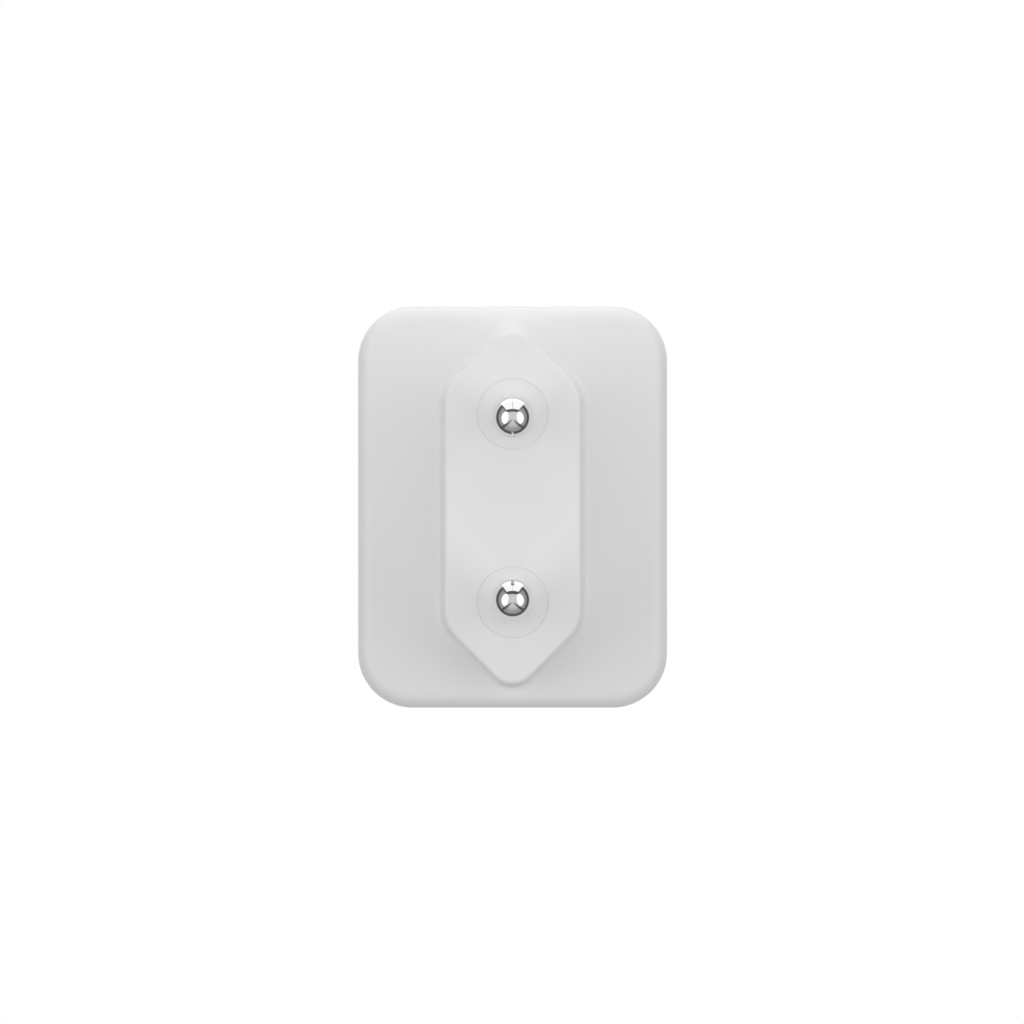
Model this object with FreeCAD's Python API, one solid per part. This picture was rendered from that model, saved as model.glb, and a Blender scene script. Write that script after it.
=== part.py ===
"""Plug-in mains power adapter with a fixed two-pin Europlug and one USB-C outlet.

Units are millimetres. The origin is the centre of the plug's engagement face, the flat end of the
hexagonal neck that the two pins leave. +Y runs from that face into the body, so the pins point to -Y;
+Z is up and +X is to the right for someone who looks at the pins. Each function below makes one piece.
"""
import FreeCAD, Part
import math
import os

os.makedirs("parts", exist_ok=True)

Vec = FreeCAD.Vector
X_AXIS = Vec(1, 0, 0)
Y_AXIS = Vec(0, 1, 0)
Z_AXIS = Vec(0, 0, 1)

# ---- Body ----
body_width = 31.2            # along X
body_height = 40.5           # along Z
body_depth = 42.0            # along Y, without the neck
body_corner_r = 5.5          # corners seen along Y
body_edge_r = 1.5            # round along the front and rear edges
wall = 2.0                   # side walls and the wall round the neck
rear_wall = 2.2
cover_skirt = 3.0            # how far the plug cover's sides run back to the seam
seam_bevel = 0.12            # small bevels that make the seam a fine groove
lap_rim = 1.1                # thickness of the main shell's rim outside the spigot
lap_length = 3.0             # how far the spigot enters the main shell
lap_clearance = 0.08
lap_end_clearance = 0.2

# ---- Hexagonal neck, to the Europlug outline ----
neck_length = 18.0
neck_width = 13.6            # across the flats, at the engagement face
neck_height = 34.9           # tip to tip over the rounded tips, at the engagement face
neck_draft = 1.15            # degrees: the neck widens towards the body
neck_tip_r = 2.5             # the two pointed ends
neck_shoulder_r = 3.7        # the four blunt corners
neck_edge_r = 0.45           # round along the engagement face
neck_foot_r = 0.6            # hollow round where the neck meets the body
neck_wall = 1.6
neck_inner_r = 0.6           # smallest corner radius inside the neck
neck_face = 3.0              # thickness behind the engagement face

# ---- Pins ----
pin_diameter = 4.0
pin_length = 19.0
pin_bare = 9.0               # bare metal, measured from the tip
pin_tip_flat = 0.3           # diameter of the flat at the very tip of the round end
pin_spacing_face = 18.6      # centre to centre at the engagement face
pin_spacing_tip = 17.5       # centre to centre at the tips
pin_core = 2.8               # diameter under the sleeve and inside the neck
pin_head_diameter = 5.0      # head behind the neck's face, inside
pin_head = 1.2
pin_root = 5.0               # from the inside of the neck's face to the contact strip
rivet_diameter = 1.5
rivet_head_diameter = 2.6
rivet_head = 0.4

# ---- Insulating sleeves with their collars ----
sleeve_diameter = 3.6
sleeve_clearance = 0.03
collar_diameter = 7.0
collar_seat = 0.8            # depth of the collar's disc, let into the face
collar_rise = 0.22           # height of the flare that stands on the face
collar_top_diameter = 4.3
sleeve_root_diameter = 5.0
seat_clearance = 0.015       # the sleeves are moulded in, so their collars fit closely

# ---- Contact strips from the pins to the board ----
strip_thickness = 0.5
strip_width = 3.0
strip_plate = 3.6            # the eye riveted to the pin, along X
strip_setback = 1.3          # from the board's front edge to the rear face of the leg
strip_through = 1.2          # how far the leg stands out behind the board
strip_bend_r = 0.45          # outer round of each bend

# ---- Boards ----
board_under = 3.2            # room between the main board's back and the shell's left wall
board_thickness = 1.2
board_rear_gap = 1.0         # from the board's end to the shell's rear wall
board_edge_gap = 0.35        # above and below the board
slot_clearance = 0.15
guide_height = 1.2           # ribs that hold the board's long edges
guide_width = 0.8
guide_setback = 9.0          # from the board's front edge to where the ribs start
lead_diameter = 0.6
lead_through = 1.5
lead_clearance = 0.1
solder_diameter = 1.5        # solder cone round each lead, behind the board
solder_height = 0.7
usb_board_thickness = 1.0
usb_board_right = 7.5        # X of its far edge
usb_board_depth = 8.0        # along Y
usb_board_rear_gap = 0.3
usb_tab_width = 5.0
usb_tab_through = 0.2

# ---- USB-C receptacle ----
port_mouth_width = 8.34      # inside the metal shell
port_mouth_height = 2.56
port_shell_wall = 0.32
port_depth = 7.5
port_recess = 0.5            # mouth behind the rear face
port_opening_clearance = 0.18
port_bevel = 0.25
slot_end_share = 0.999       # end radius as a share of half the slot's height, so a short flat is left
tongue_width = 6.69
tongue_thickness = 0.7
tongue_recess = 0.8          # tongue's end behind the mouth
port_insulator = 1.8         # block that closes the back of the shell
contact_pitch = 0.5
contact_width = 0.26
contact_thickness = 0.06
contact_count = 12           # on each side of the tongue

# ---- Loose sheets by the right wall ----
spreader_thickness = 0.5
spreader_flange_gap = 0.3    # between its flanges and the transformer's top
spreader_side_gap = 4.95     # from its flanges to the shell's upper and lower walls
spreader_setback = 5.0       # from the board's front edge
spreader_rear_gap = 1.8      # from the shell's rear wall
sheet_thickness = 0.3
sheet_clearance = 0.1        # from the sheet and the pad to the spreader's flanges
pad_thickness = 2.8
pad_corner_r = 0.4
barrier_thickness = 0.3
barrier_gap = 0.75           # behind the bobbin
barrier_above_port = 6.5     # how far it reaches above the small board

# ---- Transformer ----
core_span = 14.5             # along Z
core_depth = 7.0             # along Y
core_back = 3.0
core_outer_leg = 2.2
core_centre_leg = 4.0
core_fit = 0.12              # bobbin tube round the centre leg
bobbin_wall = 0.6
bobbin_flange = 0.8
bobbin_flange_depth = 13.5   # along Y
bobbin_base = 1.2
bobbin_foot_clear = 0.9      # from the bobbin's ends to its pin rows
winding_gap = 0.1
winding_corner_r = 1.2
transformer_pin_pitch = 3.2
transformer_pins = 4         # in each row

# ---- Other parts on the main board ----
wall_margin = 1.5            # from the transformer to the shell's lower wall
x_capacitor_size = (11.5, 6.0, 11.5)           # along X, Y, Z
x_capacitor_pitch = 9.0
varistor_diameter = 8.4
varistor_thickness = 3.6
varistor_pitch = 5.0
disc_round = 0.35            # rounded edge of a dipped disc, as a share of its thickness
disc_lift = 0.8              # under a dipped disc
fuse_diameter = 4.0
fuse_length = 8.0
fuse_cap = 1.4
fuse_waist = 0.2             # the tube between the caps is this much thinner all round
fuse_lift = 0.6              # under the fuse
choke_outer_r = 4.3
choke_inner_r = 2.3
choke_length = 4.0           # core, along Y
choke_wire = 0.8             # thickness of each winding
choke_wound_angle = 130.0
choke_foot = 1.6
choke_lead_inset = 0.8
bulk_diameter = 10.0
bulk_height = 18.0
bulk_pitch = 5.0
output_diameter = 6.0
output_height = 9.0
output_pitch = 2.5
inductor_diameter = 6.0
inductor_height = 8.0
inductor_waist = 0.88        # wound radius between the cheeks, as a share of the cheeks' radius
inductor_pitch = 4.0
inductor_cheek = 1.3
y_capacitor_diameter = 6.4
y_capacitor_thickness = 3.2
y_capacitor_pitch = 5.0
can_bevel = 0.5
can_base = 0.8               # rubber bung under each can
can_groove_start = 2.0       # rolled groove round each can, above the board
can_groove_width = 0.8
can_groove_depth = 0.27

# ---- Where the parts stand on the main board ----
# Setbacks run from the board's front edge, margins from its rear edge, depths from the shell's inner wall.
front_row_setback = 7.3
x_capacitor_setback = 6.6
inductor_setback = 15.6
bulk_front_setback = 17.6
transformer_setback = 19.8
bulk_rear_margin = 6.8
output_rear_margin = 4.2
fuse_depth = 3.85            # below the upper wall
bulk_depth = 6.65
varistor_depth = 8.95
output_depth_b = 4.45        # above the lower wall
choke_depth = 6.15
output_depth_a = 10.55
middle_row_z = 2.4           # the inductor and the Y capacitor
y_capacitor_offset = 3.2     # behind the transformer's middle

# ---- Chips on the main board's back, as (along Y, along Z) sizes and places ----
small_outline = (5.0, 3.9)
small_outline_height = 1.5
small_outline_leads = 4      # on each side
bridge_size = (4.0, 4.8)
bridge_leads = 2
bridge_setback = 11.6
bridge_z = -1.2
optocoupler_size = (4.4, 4.6)
optocoupler_height = 1.9
optocoupler_leads = 2
optocoupler_setback = 23.3
primary_controller_offset = 4.3                # above the transformer's middle
sync_rectifier_offset = -4.1
chip_bevel = 0.18
chip_standoff = 0.1
chip_lead_width = 0.4
chip_lead_thickness = 0.2
chip_lead_reach = 1.0
pd_controller_size = 4.0
pd_controller_height = 0.8
pd_controller_bevel = 0.1
pd_controller_x = 1.5

# ---- Values worked out from the ones above ----
front_y = neck_length                         # front face of the body
seam_y = front_y + cover_skirt
rear_y = front_y + body_depth                 # rear face of the body
inner_front_y = front_y + wall
inner_rear_y = rear_y - rear_wall
half_inner_x = body_width / 2 - wall
half_inner_z = body_height / 2 - wall
board_back_x = board_under - half_inner_x
board_x = board_back_x + board_thickness      # component side of the main board
board_front_y = seam_y
board_half_z = half_inner_z - board_edge_gap
board_end_y = inner_rear_y - board_rear_gap
pin_tilt = math.degrees(math.asin((pin_spacing_face - pin_spacing_tip) / 2 / pin_length))
pin_root_end_y = neck_face + pin_root
port_shell_half_height = port_mouth_height / 2 + port_shell_wall
port_shell_half_width = port_mouth_width / 2 + port_shell_wall
port_mouth_y = rear_y - port_recess
port_back_y = port_mouth_y - port_depth
usb_board_top = -port_shell_half_height
spreader_x = half_inner_x - spreader_thickness
sheet_x = spreader_x - sheet_thickness
transformer_top_x = sheet_x - pad_thickness
core_base_x = board_x + bobbin_base
core_height = transformer_top_x - core_base_x  # along X, both halves
core_middle_x = core_base_x + core_height / 2
strip_bend_y = board_front_y + strip_setback
usb_board_rear_y = inner_rear_y - usb_board_rear_gap
usb_board_front_y = usb_board_rear_y - usb_board_depth
spreader_front_y = board_front_y + spreader_setback
spreader_rear_y = inner_rear_y - spreader_rear_gap
spreader_half_z = half_inner_z - spreader_side_gap

# Places on the main board, as (y, z) centres.
front_row_y = board_front_y + front_row_setback
transformer_y = board_front_y + transformer_setback
transformer_z = -(half_inner_z - wall_margin - core_span / 2)
transformer_pin_row = bobbin_flange_depth / 2 - bobbin_foot_clear
barrier_y = transformer_y + bobbin_flange_depth / 2 + barrier_gap
x_capacitor_at = (board_front_y + x_capacitor_setback, 0.0)
varistor_at = (front_row_y, half_inner_z - varistor_depth)
fuse_at = (front_row_y, half_inner_z - fuse_depth)
choke_at = (front_row_y, choke_depth - half_inner_z)
bulk_z = half_inner_z - bulk_depth
bulk_places = {"a": (board_front_y + bulk_front_setback, bulk_z),
               "b": (board_end_y - bulk_rear_margin, bulk_z)}
output_y = board_end_y - output_rear_margin
output_places = {"a": (output_y, output_depth_a - half_inner_z),
                 "b": (output_y, output_depth_b - half_inner_z)}
inductor_at = (board_front_y + inductor_setback, middle_row_z)
y_capacitor_at = (transformer_y + y_capacitor_offset, middle_row_z)

# Chips on the board's back: (y, z) centre, (y, z) size, height, leads on each side.
chips = {
    "bridge_rectifier": ((board_front_y + bridge_setback, bridge_z), bridge_size, small_outline_height,
                         bridge_leads),
    "primary_controller": ((transformer_y, transformer_z + primary_controller_offset), small_outline,
                           small_outline_height, small_outline_leads),
    "sync_rectifier": ((transformer_y, transformer_z + sync_rectifier_offset), small_outline,
                       small_outline_height, small_outline_leads),
    "optocoupler": ((board_front_y + optocoupler_setback, bulk_z), optocoupler_size, optocoupler_height,
                    optocoupler_leads),
}

UPPER = 1
LOWER = -1


# ---- Shape helpers ----
def box(x0, x1, y0, y1, z0, z1):
    """A block between two corners."""
    return Part.makeBox(x1 - x0, y1 - y0, z1 - z0, Vec(x0, y0, z0))


def rod(radius, start, end):
    """A round bar between two points."""
    way = end - start
    return Part.makeCylinder(radius, way.Length, start, way)


def rounded_outline(corners, radii, y):
    """A closed outline in the plane at y from its sharp (x, z) corners, each rounded by its own radius."""
    points = [Vec(x, y, z) for x, z in corners]
    count = len(points)
    arcs = []
    for i, corner in enumerate(points):
        to_last = (points[i - 1] - corner).normalize()
        to_next = (points[(i + 1) % count] - corner).normalize()
        half_angle = to_last.getAngle(to_next) / 2
        tangent = radii[i] / math.tan(half_angle)
        inward = (to_last + to_next).normalize()
        middle = corner + inward * (radii[i] / math.sin(half_angle) - radii[i])
        arcs.append((corner + to_last * tangent, middle, corner + to_next * tangent))
    edges = []
    for i, (start, middle, end) in enumerate(arcs):
        edges.append(Part.Arc(start, middle, end).toShape())
        edges.append(Part.makeLine(end, arcs[(i + 1) % count][0]))
    return Part.Wire(edges)


def rounded_block(half_x, half_z, radius, y0, y1):
    """A block along Y, centred on X and Z, with rounded long edges."""
    corners = [(half_x, -half_z), (half_x, half_z), (-half_x, half_z), (-half_x, -half_z)]
    outline = rounded_outline(corners, [radius] * 4, y0)
    return Part.Face(outline).extrude(Vec(0, y1 - y0, 0))


def shell_block(inset, y0, y1):
    """A block along Y whose sides lie a given distance inside the body's outer faces."""
    return rounded_block(body_width / 2 - inset, body_height / 2 - inset, body_corner_r - inset, y0, y1)


def edges_in_plane(shape, y, tolerance=1e-4):
    """The edges of a shape that lie wholly in the plane at y."""
    return [e for e in shape.Edges
            if abs(e.BoundBox.YMin - y) < tolerance and abs(e.BoundBox.YMax - y) < tolerance]


def neck_outline(inset, y):
    """The neck's hexagon at y, a given distance inside its outer surface."""
    grow = y * math.tan(math.radians(neck_draft)) - inset
    half_width = neck_width / 2 + grow
    tip = neck_height / 2 + neck_tip_r * (math.sqrt(2) - 1) + grow * math.sqrt(2)
    shoulder = tip - half_width
    corners = [(half_width, -shoulder), (half_width, shoulder), (0, tip),
               (-half_width, shoulder), (-half_width, -shoulder), (0, -tip)]
    tip_r = max(neck_tip_r - inset, neck_inner_r)
    shoulder_r = max(neck_shoulder_r - inset, neck_inner_r)
    return rounded_outline(corners, [shoulder_r, shoulder_r, tip_r] * 2, y)


def neck_solid(inset, y0, y1):
    return Part.makeLoft([neck_outline(inset, y0), neck_outline(inset, y1)], True, True)


def turned(profile):
    """A solid of revolution about Y through the origin, from (radius, y) points.

    A profile entry may also be a pair of points: the middle and the end of an arc."""
    last = Vec(profile[0][0], profile[0][1], 0)
    edges = []
    for entry in profile[1:] + [profile[0]]:
        if isinstance(entry[0], tuple):
            middle, end = [Vec(r, y, 0) for r, y in entry]
            edges.append(Part.Arc(last, middle, end).toShape())
        else:
            end = Vec(entry[0], entry[1], 0)
            edges.append(Part.makeLine(last, end))
        last = end
    return Part.Face(Part.Wire(edges)).revolve(Vec(0, 0, 0), Y_AXIS, 360)


def stadium(half_width, half_height, y0, y1):
    """A block along Y with fully rounded ends along X."""
    return rounded_block(half_width, half_height, half_height * slot_end_share, y0, y1)


def pin_seat_z(side):
    return side * pin_spacing_face / 2


def leaned(shape, side):
    """Lean a shape made about the Y axis to a pin's angle and carry it to that pin's place."""
    shape.rotate(Vec(0, 0, 0), X_AXIS, side * pin_tilt)
    shape.translate(Vec(0, 0, pin_seat_z(side)))
    return shape


def squared(shape, side):
    """Carry a shape made about the Y axis to a pin's place without leaning it."""
    shape.translate(Vec(0, 0, pin_seat_z(side)))
    return shape


# ---- Housing ----
def plug_cover():
    """The front cover: skirt, front wall, hexagonal neck and the spigot that enters the main shell."""
    plate = shell_block(0, front_y, seam_y)
    plate = plate.makeFillet(body_edge_r, edges_in_plane(plate, front_y))
    plate = plate.makeChamfer(seam_bevel, edges_in_plane(plate, seam_y))
    shape = plate.fuse(neck_solid(0, 0, front_y + wall / 2)).removeSplitter()
    foot = [e for e in edges_in_plane(shape, front_y) if is_on_neck(e)]
    shape = shape.makeFillet(neck_foot_r, foot)
    shape = shape.makeFillet(neck_edge_r, edges_in_plane(shape, 0))
    spigot = shell_block(lap_rim + lap_clearance, seam_y - wall / 4, seam_y + lap_length)
    shape = shape.fuse(spigot)
    shape = shape.cut(shell_block(wall, inner_front_y, seam_y + lap_length + 1))
    shape = shape.cut(neck_solid(neck_wall, neck_face, inner_front_y + 1))
    for side in (UPPER, LOWER):
        seat = turned([(0, 0), (collar_diameter / 2 + seat_clearance, 0),
                       (collar_diameter / 2 + seat_clearance, collar_seat),
                       (sleeve_root_diameter / 2 + seat_clearance, collar_seat),
                       (sleeve_root_diameter / 2 + seat_clearance, neck_face + 1), (0, neck_face + 1)])
        shape = shape.cut(squared(seat, side))
    return shape.removeSplitter()


def is_on_neck(edge):
    """Whether an edge in the body's front plane belongs to the neck's foot, not to the body's rim."""
    middle = edge.valueAt((edge.FirstParameter + edge.LastParameter) / 2)
    return Part.Vertex(middle).distToShape(neck_outline(0, front_y))[0] < seam_bevel


def main_shell():
    """The deep rear shell with the USB-C opening, and the ribs and stops that hold the board."""
    shape = shell_block(0, seam_y, rear_y)
    shape = shape.makeFillet(body_edge_r, edges_in_plane(shape, rear_y))
    shape = shape.makeChamfer(seam_bevel, edges_in_plane(shape, seam_y))
    shape = shape.cut(shell_block(wall, seam_y - 1, inner_rear_y))
    shape = shape.cut(shell_block(lap_rim, seam_y - 1, seam_y + lap_length + lap_end_clearance))
    shape = shape.cut(port_opening())
    rib_top = half_inner_z + wall / 2
    rib_low = half_inner_z - guide_height
    for side in (UPPER, LOWER):
        z0, z1 = sorted((side * rib_low, side * rib_top))
        right = board_x + slot_clearance
        left = board_back_x - slot_clearance
        into_wall_y = inner_rear_y + rear_wall / 2
        for x0, x1 in ((right, right + guide_width), (left - guide_width, left)):
            shape = shape.fuse(box(x0, x1, board_front_y + guide_setback, into_wall_y, z0, z1))
        shape = shape.fuse(box(left, right, board_end_y, into_wall_y, z0, z1))
    return shape.removeSplitter()


def port_opening():
    """The slot in the rear wall, with a small bevel at its mouth."""
    half_width = port_shell_half_width + port_opening_clearance
    half_height = port_shell_half_height + port_opening_clearance
    slot = stadium(half_width, half_height, inner_rear_y - 1, rear_y + 1)
    inner = rounded_outline_of_slot(half_width, half_height, rear_y - port_bevel)
    outer = rounded_outline_of_slot(half_width + 2 * port_bevel, half_height + 2 * port_bevel,
                                    rear_y + port_bevel)
    return slot.fuse(Part.makeLoft([inner, outer], True, True))


def rounded_outline_of_slot(half_width, half_height, y):
    corners = [(half_width, -half_height), (half_width, half_height),
               (-half_width, half_height), (-half_width, -half_height)]
    return rounded_outline(corners, [half_height * slot_end_share] * 4, y)


# ---- Pins, sleeves and contact strips ----
def pin(side):
    """A nickel-plated brass pin: leaning shank with a round tip, and a square root inside the neck."""
    bare_y = -(pin_length - pin_bare)
    radius = pin_diameter / 2
    dome_rise = math.sqrt(radius ** 2 - (pin_tip_flat / 2) ** 2)
    dome_y = -(pin_length - dome_rise)
    half_turn = math.asin(dome_rise / radius) / 2
    dome_middle = (radius * math.cos(half_turn), dome_y - radius * math.sin(half_turn))
    shank = turned([(0, neck_face + pin_head / 2), (pin_core / 2, neck_face + pin_head / 2),
                    (pin_core / 2, bare_y), (radius, bare_y), (radius, dome_y),
                    (dome_middle, (pin_tip_flat / 2, -pin_length)), (0, -pin_length)])
    strip_y = pin_root_end_y
    rivet_y = strip_y + strip_thickness
    root = turned([(0, neck_face), (pin_head_diameter / 2, neck_face),
                   (pin_head_diameter / 2, neck_face + pin_head), (pin_core / 2, neck_face + pin_head),
                   (pin_core / 2, strip_y), (rivet_diameter / 2, strip_y), (rivet_diameter / 2, rivet_y),
                   (rivet_head_diameter / 2, rivet_y), (rivet_head_diameter / 2, rivet_y + rivet_head),
                   (0, rivet_y + rivet_head)])
    return leaned(shank, side).fuse(squared(root, side)).removeSplitter()


def collar_flare():
    """Middle and end of the arc that leaves the face without a step and rises towards the sleeve."""
    run = (collar_diameter - collar_top_diameter) / 2
    radius = (run ** 2 + collar_rise ** 2) / (2 * collar_rise)
    half_turn = math.asin(run / radius) / 2
    middle = (collar_diameter / 2 - radius * math.sin(half_turn), -radius * (1 - math.cos(half_turn)))
    return middle, (collar_top_diameter / 2, -collar_rise)


def pin_sleeve(side):
    """The pale insulating sleeve and its flared collar, one moulding let into the neck's face."""
    bare_y = -(pin_length - pin_bare)
    radius = sleeve_diameter / 2
    collar = turned([(0, neck_face), (sleeve_root_diameter / 2, neck_face),
                     (sleeve_root_diameter / 2, collar_seat), (collar_diameter / 2, collar_seat),
                     (collar_diameter / 2, 0), collar_flare(), (0, -collar_rise)])
    tube = turned([(0, neck_face / 2), (radius, neck_face / 2), (radius, bare_y), (0, bare_y)])
    bore_r = pin_core / 2 + sleeve_clearance
    bore = turned([(0, 2 * neck_face), (bore_r, 2 * neck_face), (bore_r, bare_y - 1), (0, bare_y - 1)])
    shape = squared(collar, side).fuse(leaned(tube, side)).cut(leaned(bore, side))
    return shape.removeSplitter()


def contact_strip(side):
    """A bent brass strip: eye riveted to the pin, a run through the neck, a leg soldered in the board."""
    z = pin_seat_z(side)
    z0, z1 = z - strip_width / 2, z + strip_width / 2
    x1 = strip_plate / 2
    y0 = pin_root_end_y
    eye = box(-x1, x1, y0, y0 + strip_thickness, z0, z1)
    run = box(x1 - strip_thickness, x1, y0, strip_bend_y, z0, z1)
    leg = box(board_back_x - strip_through, x1, strip_bend_y - strip_thickness, strip_bend_y, z0, z1)
    shape = eye.fuse([run, leg]).removeSplitter()
    bend = [e for e in shape.Edges if e.BoundBox.ZLength > strip_width - 0.01
            and abs(e.BoundBox.XMax - x1) < 1e-4]
    shape = shape.makeFillet(strip_bend_r, bend)
    rim = solder_diameter / 2 - lead_diameter / 2
    shape = shape.fuse(box(board_back_x - solder_height, board_back_x, strip_bend_y - strip_thickness - rim,
                           strip_bend_y + rim, z0 - rim, z1 + rim)).removeSplitter()
    hole = rod(rivet_diameter / 2 + sleeve_clearance, Vec(0, y0 - 1, z), Vec(0, y0 + 1, z))
    return shape.cut(hole)


# ---- Leads of the parts on the main board ----
def pair_along_y(place, pitch):
    y, z = place
    return [(y - pitch / 2, z), (y + pitch / 2, z)]


def pair_along_z(place, pitch):
    y, z = place
    return [(y, z - pitch / 2), (y, z + pitch / 2)]


def transformer_leads():
    first = -(transformer_pins - 1) / 2 * transformer_pin_pitch
    return [(transformer_y + row * transformer_pin_row, transformer_z + first + i * transformer_pin_pitch)
            for row in (-1, 1) for i in range(transformer_pins)]


def choke_leads():
    y, z = choke_at
    reach = choke_outer_r - choke_lead_inset
    return [(y + dy, z + dz) for dy in (-1, 1) for dz in (-reach, reach)]


def all_leads():
    leads = pair_along_z(x_capacitor_at, x_capacitor_pitch) + pair_along_y(varistor_at, varistor_pitch)
    leads += pair_along_y(fuse_at, fuse_length - fuse_cap) + choke_leads() + transformer_leads()
    leads += pair_along_y(inductor_at, inductor_pitch) + pair_along_y(y_capacitor_at, y_capacitor_pitch)
    for place in bulk_places.values():
        leads += pair_along_z(place, bulk_pitch)
    for place in output_places.values():
        leads += pair_along_z(place, output_pitch)
    return leads


def with_leads(shape, leads, top_x):
    """Add wire leads from inside a component, through the board, to a solder cone behind it."""
    for y, z in leads:
        shape = shape.fuse(rod(lead_diameter / 2, Vec(board_back_x - lead_through, y, z), Vec(top_x, y, z)))
        shape = shape.fuse(Part.makeCone(solder_diameter / 2, lead_diameter / 2, solder_height,
                                         Vec(board_back_x, y, z), -X_AXIS))
    return shape.removeSplitter()


# ---- Boards ----
def main_board():
    shape = box(board_back_x, board_x, board_front_y, board_end_y, -board_half_z, board_half_z)
    radius = lead_diameter / 2 + lead_clearance
    holes = [rod(radius, Vec(board_back_x - 1, y, z), Vec(board_x + 1, y, z)) for y, z in all_leads()]
    gap = slot_clearance
    for side in (UPPER, LOWER):
        z = pin_seat_z(side)
        holes.append(box(board_back_x - 1, board_x + 1, strip_bend_y - strip_thickness - gap,
                         strip_bend_y + gap, z - strip_width / 2 - gap, z + strip_width / 2 + gap))
    y0, y1 = usb_tab_span()
    holes.append(box(board_back_x - 1, board_x + 1, y0 - gap, y1 + gap,
                     usb_board_top - usb_board_thickness - gap, usb_board_top + gap))
    return shape.cut(holes)


def usb_tab_span():
    middle = (usb_board_front_y + min(usb_board_rear_y, board_end_y)) / 2
    return middle - usb_tab_width / 2, middle + usb_tab_width / 2


def usb_board():
    """The small board that carries the receptacle; its tab is soldered into the main board's slot."""
    z0 = usb_board_top - usb_board_thickness
    plate = box(board_x, usb_board_right, usb_board_front_y, usb_board_rear_y, z0, usb_board_top)
    y0, y1 = usb_tab_span()
    tab = box(board_back_x - usb_tab_through, board_x, y0, y1, z0, usb_board_top)
    return plate.fuse(tab).removeSplitter()


# ---- Mains side ----
def x_capacitor():
    size_x, size_y, size_z = x_capacitor_size
    y, z = x_capacitor_at
    body = box(board_x, board_x + size_x, y - size_y / 2, y + size_y / 2, z - size_z / 2, z + size_z / 2)
    body = body.makeFillet(can_bevel, body.Edges)
    return with_leads(body, pair_along_z(x_capacitor_at, x_capacitor_pitch), board_x + size_x / 2)


def disc_part(place, diameter, thickness, pitch):
    """A dipped disc on edge: its axis along Z, two leads side by side along Y."""
    y, z = place
    x = board_x + diameter / 2 + disc_lift
    disc = rod(diameter / 2, Vec(x, y, z - thickness / 2), Vec(x, y, z + thickness / 2))
    disc = disc.makeFillet(thickness * disc_round, disc.Edges)
    return with_leads(disc, pair_along_y(place, pitch), x)


def varistor():
    return disc_part(varistor_at, varistor_diameter, varistor_thickness, varistor_pitch)


def y_capacitor():
    return disc_part(y_capacitor_at, y_capacitor_diameter, y_capacitor_thickness, y_capacitor_pitch)


def fuse():
    """A short cartridge with wider end caps, lying along Y just above the board."""
    y, z = fuse_at
    x = board_x + fuse_lift + fuse_diameter / 2
    ends = (y - fuse_length / 2, y + fuse_length / 2)
    shape = rod(fuse_diameter / 2 - fuse_waist, Vec(x, ends[0], z), Vec(x, ends[1], z))
    for start, end in ((ends[0], ends[0] + fuse_cap), (ends[1] - fuse_cap, ends[1])):
        shape = shape.fuse(rod(fuse_diameter / 2, Vec(x, start, z), Vec(x, end, z)))
    return with_leads(shape, pair_along_y(fuse_at, fuse_length - fuse_cap), x)


def choke_centre():
    y, z = choke_at
    return Vec(board_x + choke_foot + choke_outer_r + choke_wire, y, z)


def choke_ring(outer_r, inner_r, half_length, centre):
    ring = rod(outer_r, centre - Y_AXIS * half_length, centre + Y_AXIS * half_length)
    return ring.cut(rod(inner_r, centre - Y_AXIS * (half_length + 1), centre + Y_AXIS * (half_length + 1)))


def choke_core():
    ring = choke_ring(choke_outer_r, choke_inner_r, choke_length / 2, choke_centre())
    return ring.makeFillet(choke_wire / 2, ring.Edges)


def choke_winding(turn):
    """One of the two windings: a layer of wire round part of the ring."""
    centre = choke_centre()
    inner = choke_inner_r - choke_wire
    outer = choke_outer_r + choke_wire
    top = choke_length / 2 + choke_wire
    corners = [Vec(inner, -top, 0), Vec(outer, -top, 0), Vec(outer, top, 0), Vec(inner, top, 0)]
    face = Part.Face(Part.makePolygon(corners + [corners[0]]))
    winding = face.revolve(Vec(0, 0, 0), Y_AXIS, choke_wound_angle)
    winding.rotate(Vec(0, 0, 0), Y_AXIS, turn - choke_wound_angle / 2)
    winding.translate(centre)
    return winding.cut(choke_ring(choke_outer_r, choke_inner_r, choke_length / 2, centre))


def choke_base():
    """The moulded foot that the wound ring stands on."""
    y, z = choke_at
    centre = choke_centre()
    half_y = choke_length / 2 + choke_wire
    half_z = choke_outer_r
    foot = box(board_x, centre.x - choke_outer_r / 2, y - half_y, y + half_y, z - half_z, z + half_z)
    clear = choke_outer_r + choke_wire
    foot = foot.cut(rod(clear, centre - Y_AXIS * (half_y + 1), centre + Y_AXIS * (half_y + 1)))
    return with_leads(foot, choke_leads(), board_x + choke_foot / 2)


def can(place, diameter, height, pitch):
    """An upright electrolytic capacitor: rubber bung, rolled groove and bevelled top."""
    y, z = place
    r = diameter / 2
    groove_r = r - can_groove_depth
    groove_end = can_groove_start + can_groove_width
    profile = [(0, 0), (r - can_bevel, 0), (r - can_bevel, can_base), (r, can_base + can_bevel),
               (r, can_groove_start), (groove_r, can_groove_start + can_groove_width / 2), (r, groove_end),
               (r, height - can_bevel), (r - can_bevel, height), (0, height)]
    shape = turned(profile)
    shape.rotate(Vec(0, 0, 0), Z_AXIS, -90)
    shape.translate(Vec(board_x, y, z))
    return with_leads(shape, pair_along_z(place, pitch), board_x + height / 2)


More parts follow.
